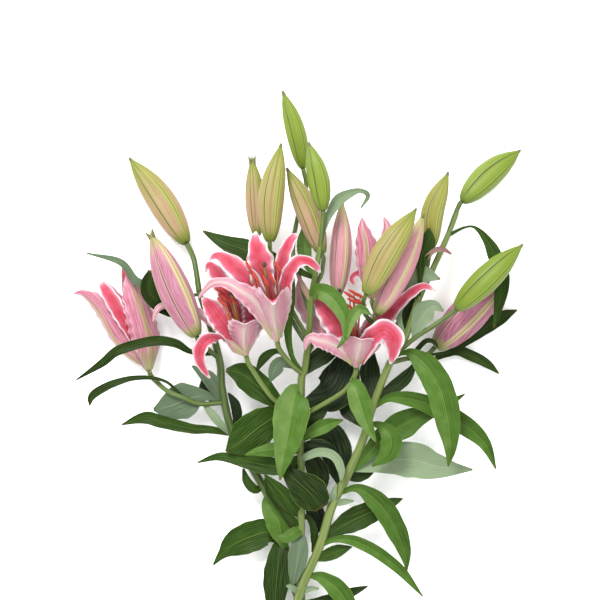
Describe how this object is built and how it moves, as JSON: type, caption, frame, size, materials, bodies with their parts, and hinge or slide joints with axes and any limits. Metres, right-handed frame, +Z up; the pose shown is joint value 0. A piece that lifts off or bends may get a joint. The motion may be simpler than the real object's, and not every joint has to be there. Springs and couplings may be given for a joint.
{
  "type": "bunch of cut lilies",
  "caption": "Tied bunch of cut lily stems lying flat, with pink open blooms, tapering green and pink buds and long arching leaves.",
  "frame": {"origin": "on the surface, under the middle of the bunch's box", "axes": "+Y along the stems towards the flowers, +Z up from the surface, +X to the right seen from above with the flowers away from the viewer"},
  "size_m": [0.4492, 0.7052, 0.1401],
  "materials": {
    "leafy_stem": "satin leaf green",
    "green_bud": "satin fresh green",
    "flushed_bud": "satin yellow-green, flushed pink",
    "pink_bud": "satin pink, streaked",
    "petal": "soft satin coral pink with white margins",
    "twine": "matt natural twine"
  },
  "bodies": {
    "root": {"stem_left": "leafy_stem", "stem_centre": "leafy_stem", "stem_right": "leafy_stem", "bud_01": "flushed_bud", "bud_02": "pink_bud", "bud_03": "pink_bud", "bud_04": "flushed_bud", "bud_05": "flushed_bud", "bud_06": "green_bud", "bud_07": "green_bud", "bud_08": "flushed_bud", "bud_09": "pink_bud", "bud_10": "petal", "bud_11": "flushed_bud", "bud_12": "pink_bud", "bud_13": "flushed_bud", "bud_14": "green_bud", "bud_15": "flushed_bud", "bud_16": "pink_bud", "bloom_upper_left": "petal", "bloom_lower_left": "petal", "bloom_right": "petal", "tie": "twine"}
  },
  "joints": []
}
